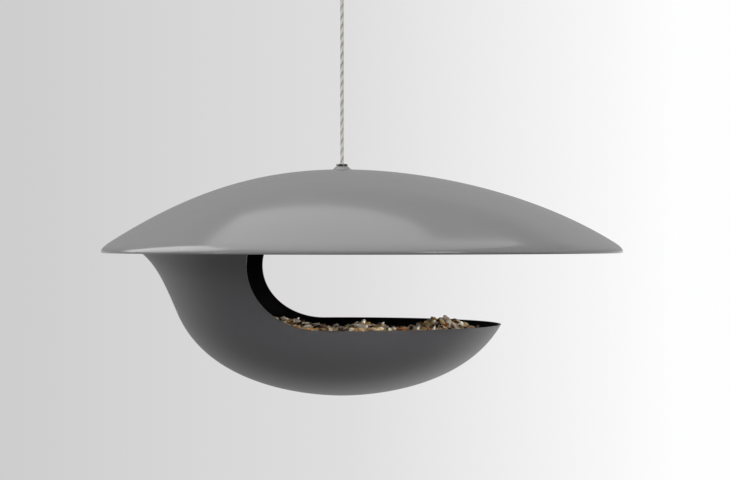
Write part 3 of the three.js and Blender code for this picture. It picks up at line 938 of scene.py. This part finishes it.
slip_low, slip_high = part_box("swivel_washer")
slip_radius = (slip_high.x - slip_low.x) / 2
slip_washer = ring("nylon_washer", cord_hole, slip_radius, slip_low.z, slip_high.z, ease=0.0003)
nylon = Finish("washer_nylon")
nylon_haze = nylon.noise(0.003)
nylon.paint({
    "Base Color": nylon.colours(nylon_haze, shade(232, 228, 216), shade(216, 211, 198)),
    "Roughness": 0.35 + 0.15 * nylon_haze,
})
dress(slip_washer, "cord_end", "nylon", nylon)
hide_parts("swivel_washer")


# Eye terminal: a stainless sleeve crimped on the upper end of the cord, with a forged ring on top that
# hangs in the hook.
eye_low, eye_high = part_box("cord_eye")
eye_radius = 0.0075
eye_wire = 0.004
sleeve_radius = 0.0034
sleeve_chamfer = 0.0008
sleeve_bore = 0.018
sleeve_crimps = 3
sleeve_steps = 8
eye_middle = eye_high.z - eye_radius - eye_wire / 2
sleeve_top = eye_middle - eye_radius
sleeve_shoulder = sleeve_top - sleeve_radius / 2
sleeve_crown = sleeve_top + eye_wire / 4
eye = turned("eye_terminal", [
    (0.0, eye_low.z + sleeve_bore), (cord_hole, eye_low.z + sleeve_bore), (cord_hole, eye_low.z),
    (sleeve_radius - sleeve_chamfer, eye_low.z),
    *crimped(sleeve_radius, eye_low.z + sleeve_chamfer, sleeve_shoulder, sleeve_crimps),
    *bend((sleeve_radius, sleeve_shoulder), (sleeve_radius, sleeve_crown), (0.0, sleeve_crown),
          sleeve_steps)[1:],
])
deselect()
bpy.ops.mesh.primitive_torus_add(
    major_radius=eye_radius, minor_radius=eye_wire / 2, major_segments=72, minor_segments=24,
    location=(0, 0, eye_middle), rotation=(math.pi / 2, 0, 0),
)
eye_ring = bpy.context.object
bpy.ops.object.transform_apply()
bpy.ops.object.shade_smooth()
join(eye, [eye_ring])
dress(eye, "hanging_cord", "steel", steel)
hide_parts("cord_eye")


# Cord: a twine of two cotton strands laid round each other, greyish beige. It comes out of the grommet
# and runs straight up, taut, into the sleeve of the eye terminal. Its tail goes down to the stop.
tail_low, tail_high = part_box("cord_tail")
cord_diameter = tail_high.x - tail_low.x
cord_twist = 0.0163
strand_depth = 0.25 * cord_diameter
strand_width = 0.39 * cord_diameter
strand_sides = 14
strand_step = 0.0005
strand_end = 0.7
tilt_joint = next(joint for joint in frame["joints"] if joint["name"] == "feeder_tilt")
tilt_pivot = Vector(tilt_joint["pos_m"])
bend_below = 0.003


def laid_strands(name, low, high):
    """Two flattened strands laid round each other up the cord, with a map of their turn and run."""
    points, faces, corners = [], [], []
    helix = cord_diameter / 2 - strand_depth
    steps = math.ceil((high - low) / strand_step)
    for strand in range(2):
        first = len(points)
        for step in range(steps + 1):
            z = low + (high - low) * step / steps
            angle = 2 * math.pi * z / cord_twist + strand * math.pi
            out = Vector((math.cos(angle), math.sin(angle), 0))
            run = Vector((-math.sin(angle), math.cos(angle), 0)) * helix * 2 * math.pi / cord_twist
            run = (run + Vector((0, 0, 1))).normalized()
            side = run.cross(out)
            end = strand_end if step in (0, steps) else 1.0
            for i in range(strand_sides):
                turn = 2 * math.pi * i / strand_sides
                around = out * strand_depth * math.cos(turn) + side * strand_width * math.sin(turn)
                points.append(out * helix + Vector((0, 0, z)) + around * end)
        for step in range(steps):
            for i in range(strand_sides):
                a = first + step * strand_sides
                j = (i + 1) % strand_sides
                faces.append((a + i, a + j, a + strand_sides + j, a + strand_sides + i))
                for turn, rise in ((i, step), (i + 1, step), (i + 1, step + 1), (i, step + 1)):
                    corners.append((turn / strand_sides, rise * strand_step))
        for ends, order in ((first, -1), (first + steps * strand_sides, 1)):
            faces.append(tuple(range(ends, ends + strand_sides))[::order])
            corners += [(0.5, 0.0)] * strand_sides
    mesh = bpy.data.meshes.new(name)
    mesh.from_pydata(points, [], faces)
    layer = mesh.uv_layers.new(name="lay")
    for corner, place in zip(layer.data, corners):
        corner.uv = place
    mesh.shade_smooth()
    return placed(name, mesh)


fibre_turns = 7.0
fibre_slant = 1100.0
fibre_run = 90.0
cotton = Finish("twine_cotton")
lay = cotton.add("ShaderNodeUVMap", {"uv_map": "lay"})
turn = cotton.part(lay, "X")
run = cotton.part(lay, "Y")
yarn = cotton.add(
    "ShaderNodeCombineXYZ", {}, {0: fibre_turns * turn + fibre_slant * run, 1: fibre_run * run}
)
fibres = cotton.noise(1.0, 3.0, yarn)
cotton_patch = cotton.noise(0.004)
# Painted shade: each strand is coloured lighter on its outer crest and darker where it turns in towards the
# groove between the strands.
crest = cotton.add("ShaderNodeMath", {"operation": "COSINE"}, {0: 2 * math.pi * turn})
cotton_tone_and_painted_groove_shade = 0.2 + 0.4 * fibres + 0.15 * cotton_patch + 0.3 * crest
cotton.paint({
    "Base Color": cotton.colours(cotton_tone_and_painted_groove_shade, shade(176, 173, 165), shade(255, 253, 247)),
    "Roughness": 0.85 + 0.1 * fibres,
    "Normal": cotton.bump(fibres, 0.00025),
    "Sheen Weight": 0.25,
})
cord_foot = tilt_pivot.z - bend_below
cord = laid_strands("twisted_cord", cord_foot, cord_high.z)
cord.data.materials.append(cotton.material)
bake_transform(cord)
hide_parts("cord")
cord_end = laid_strands("cord_tail_strands", tail_low.z, cord_foot + strand_step)
dress(cord_end, "cord_end", "twine", cotton)
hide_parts("cord_tail")


# Hook: an S of stainless wire with rounded ends. Its upper bend goes over a branch or a rail and its
# lower bend holds the eye terminal.
hook_wire = 0.0045
hook_top_radius = 0.016
hook_low_radius = 0.009
hook_shank = 0.034
hook_tip = 0.005
hook_top = hook_wire / 2 - hook_top_radius
hook_low = hook_top - hook_shank
arc_handle = 0.5523
low_handle = arc_handle * hook_low_radius
top_handle = arc_handle * hook_top_radius
shank_handle = 0.008
tip_handle = hook_tip / 3
hook_bends = (
    ((hook_low_radius, hook_low + hook_tip), (0, -1), tip_handle, tip_handle),
    ((hook_low_radius, hook_low), (0, -1), tip_handle, low_handle),
    ((0, hook_low - hook_low_radius), (-1, 0), low_handle, low_handle),
    ((-hook_low_radius, hook_low), (0, 1), low_handle, shank_handle),
    ((hook_top_radius, hook_top), (0, 1), shank_handle, top_handle),
    ((0, hook_top + hook_top_radius), (-1, 0), top_handle, top_handle),
    ((-hook_top_radius, hook_top), (0, -1), top_handle, tip_handle),
    ((-hook_top_radius, hook_top - hook_tip), (0, -1), tip_handle, tip_handle),
)
deselect()
bpy.ops.curve.primitive_bezier_curve_add(location=(0, 0, 0))
hook = bpy.context.object
hook.name = "wire_s_hook"
hook_line = hook.data.splines[0]
hook_line.bezier_points.add(len(hook_bends) - len(hook_line.bezier_points))
for knot, (place, run, before, after) in zip(hook_line.bezier_points, hook_bends):
    place = Vector((0, *place))
    run = Vector((0, *run))
    knot.handle_left_type = "FREE"
    knot.handle_right_type = "FREE"
    knot.co = place
    knot.handle_left = place - run * before
    knot.handle_right = place + run * after
hook.data.resolution_u = 16
hook.data.bevel_depth = hook_wire / 2
hook.data.bevel_resolution = 6
hook.data.use_fill_caps = True
bpy.ops.object.convert(target="MESH")
hook = bpy.context.object
for tip, outward in ((hook_bends[0][0], 1), (hook_bends[-1][0], -1)):
    tip = Vector((0, *tip))
    for point in hook.data.vertices:
        inward = outward * (tip.z - point.co.z)
        if (point.co - tip).length < hook_wire and inward < hook_wire / 2:
            narrowing = math.sqrt(max(0.0, 1 - (1 - 2 * inward / hook_wire) ** 2))
            point.co.x = tip.x + narrowing * (point.co.x - tip.x)
            point.co.y = tip.y + narrowing * (point.co.y - tip.y)
bpy.ops.object.mode_set(mode="EDIT")
weld(hook, degrees=45)
dress(hook, "hook", "steel", steel)
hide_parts("hanging_hook")


# Studio: a floor well below the feeder that fades out round its edge, a softbox overhead, a window at
# the left that shows in the gloss, soft lights left and front right, narrow ones under the roof, and
# a pale background that gets lighter to the right.
floor_drop = 0.8
floor_radius = 3.0
floor_fade_start = 0.4
floor_fade_end = 1.0
deselect()
bpy.ops.mesh.primitive_circle_add(
    vertices=96, radius=floor_radius, fill_type="NGON", location=(0, 0, bowl_low.z - floor_drop)
)
floor = bpy.context.object
floor.name = "pale_floor"
bpy.ops.object.transform_apply()
floor_paint = Finish("floor_pale")
floor_place = floor_paint.add("ShaderNodeMapping", {}, {"Vector": floor_paint.place, "Scale": (1, 1, 0)})
floor_away = floor_paint.add("ShaderNodeVectorMath", {"operation": "LENGTH"}, {0: floor_place}, "Value")
floor_seen = floor_paint.add(
    "ShaderNodeMapRange", {"interpolation_type": "SMOOTHSTEP"},
    {0: floor_away, 1: floor_fade_start, 2: floor_fade_end, 3: 1.0, 4: 0.0},
)
floor_paint.paint({"Base Color": shade(170, 170, 170), "Roughness": 0.9, "Alpha": floor_seen})
floor.data.materials.append(floor_paint.material)


def soft_light(name, place, aim, width, height, brightness, spread=180.0, seen=True):
    """A flat soft light that faces a point, with its brightness, its spread and whether gloss shows it."""
    bpy.ops.object.light_add(type="AREA", location=place)
    lamp = bpy.context.object
    lamp.name = name
    lamp.data.shape = "RECTANGLE"
    lamp.data.size = width
    lamp.data.size_y = height
    lamp.data.energy = brightness * math.pi * width * height
    lamp.data.spread = math.radians(spread)
    facing = (Vector(aim) - Vector(place)).to_track_quat("-Z", "Y")
    lamp.rotation_euler = facing.to_euler()
    lamp.visible_glossy = seen


feeder_middle = (0.0, 0.0, rim_level)
slot_level = rim_level - 0.112
slot_aim = (0.0, -0.1, slot_level)
wall_aim = (-0.1, -0.1, rim_level - 0.01)
soft_light(
    "left_light", (-1.25, -0.05, rim_level + 0.58), feeder_middle,
    width=1.5, height=0.6, brightness=2.95, seen=False,
)
soft_light(
    "right_light", (1.0, -1.6, rim_level + 0.66), feeder_middle,
    width=0.6, height=0.6, brightness=6.0,
)
soft_light(
    "right_slot_light", (0.65, -1.2, slot_level), slot_aim,
    width=0.55, height=0.15, brightness=0.36, spread=4,
)
soft_light(
    "left_slot_light", (-1.0, -0.8, slot_level), slot_aim,
    width=0.55, height=0.16, brightness=0.12, spread=5,
)
soft_light(
    "rear_wall_light", (-1.2, -0.6, rim_level - 0.32), wall_aim,
    width=0.5, height=0.045, brightness=0.17, spread=3,
)
# The roof shows no mirror image of the cord and its fittings
for piece in (cord, eye, hook):
    piece.visible_glossy = False

softbox_height = 1.25
softbox_brightness = 1.15
softbox_outline = (
    (-0.5, 1.2), (0.06, 0.91), (0.22, 0.76), (0.33, 0.52), (0.5, 0.66), (0.7, 0.94), (0.78, 0.8),
    (0.82, 0.42), (0.7, -0.3), (0.52, -1.3), (-0.3, -1.25), (-0.85, -0.6), (-0.9, 0.0), (-0.73, 0.7),
    (-0.68, 0.88),
)
window_distance = 1.25
window_brightness = 3.3
window_outline = (
    (0.62, 0.08), (0.78, 0.55), (0.9, 0.95), (1.02, 1.4), (1.1, 1.9), (1.05, 2.3), (0.4, 2.3),
    (-0.2, 1.7), (-0.36, 1.2), (-0.3, 0.65), (-0.12, 0.2), (-0.05, 0.02),
)


def glowing(name, corners, brightness):
    """A flat panel that glows, out of the camera's sight."""
    panel = flat_face(name, corners)
    bpy.ops.object.mode_set(mode="OBJECT")
    panel.visible_camera = False
    glow = Finish(name)
    glow.paint({
        "Base Color": shade(0, 0, 0),
        "Emission Color": shade(255, 255, 255),
        "Emission Strength": brightness,
    })
    panel.data.materials.append(glow.material)
    return panel


softbox_corners = [(x, y, rim_level + softbox_height) for x, y in softbox_outline]
glowing("overhead_softbox", softbox_corners, softbox_brightness)
window_corners = [(-window_distance, y, rim_level + z) for y, z in window_outline]
window = glowing("left_window", window_corners, window_brightness)
window.visible_diffuse = False

background_left = shade(206, 206, 206)
background_middle = shade(223, 222, 223)
background_right = shade(254, 254, 255)
background_spread = 0.17
upper_left = shade(150, 150, 150)
upper_right = shade(200, 200, 200)
ceiling_grey = shade(130, 130, 130)
room_grey = shade(96, 96, 96)
high_light = shade(155, 155, 155)
level_light = shade(205, 205, 205)
low_light = shade(40, 40, 40)
world = bpy.data.worlds.new("pale_studio")
bpy.context.scene.world = world
world.use_nodes = True
sky = Nodes(world.node_tree)
direction = sky.add("ShaderNodeTexCoord", out="Generated")
sideways = sky.part(direction, "X")
backward = sky.part(direction, "Y")
upward = sky.part(direction, "Z")
across = sky.add("ShaderNodeMapRange", {}, {0: sideways, 1: -background_spread, 2: background_spread})
wall_stops = [(0.0, background_left), (0.5, background_middle), (1.0, background_right)]
wall_colour = sky.add("ShaderNodeValToRGB", {"stops": wall_stops}, {0: across})


def faded(value, colour, other, start, end):
    """One colour of the surroundings that goes over into another where a value rises."""
    share = sky.add("ShaderNodeMapRange", {"interpolation_type": "SMOOTHSTEP"}, {0: value, 1: start, 2: end})
    return sky.colours(share, colour, other)


upper_wall = faded(sideways, upper_left, upper_right, start=-0.1, end=0.7)
surroundings = faded(upward, wall_colour, upper_wall, start=0.0, end=0.08)
surroundings = faded(upward, surroundings, ceiling_grey, start=0.5, end=0.66)
surroundings = faded(upward + backward, room_grey, surroundings, start=-0.3, end=0.1)
soft_sky = faded(upward, level_light, high_light, start=0.25, end=0.5)
soft_sky = faded(upward, low_light, soft_sky, start=-0.2, end=0.05)
camera_ray = sky.add("ShaderNodeLightPath", out="Is Camera Ray")
glossy_ray = sky.add("ShaderNodeLightPath", out="Is Glossy Ray")
clear_ray = sky.add("ShaderNodeLightPath", out="Is Transmission Ray")
sky_colour = sky.colours(glossy_ray, soft_sky, surroundings)
sky_colour = sky.colours(camera_ray.math("MAXIMUM", camera_ray, clear_ray), sky_colour, wall_colour)
sky.feed(world.node_tree.nodes["Background"].inputs["Color"], sky_colour)
bpy.context.scene.view_settings.view_transform = "Standard"


# Camera: level and square to the slot, about as far away as the picture was taken from. Its height and
# shift put the cord and the roof's rim where the picture has them.
picture_width = 730
picture_height = 480
focal_pixels = 1900
pixel_size = 0.00085
cord_column = 342
axis_column = 348
rim_row = 252.8
sensor_width = 36
bpy.ops.object.camera_add(
    location=(
        (axis_column - cord_column) * pixel_size,
        -focal_pixels * pixel_size,
        rim_level + (rim_row - picture_height / 2) * pixel_size,
    ),
    rotation=(math.pi / 2, 0, 0),
)
camera = bpy.context.object
camera.data.sensor_width = sensor_width
camera.data.lens = sensor_width * focal_pixels / picture_width
camera.data.shift_x = (picture_width / 2 - axis_column) / picture_width
bpy.context.scene.camera = camera
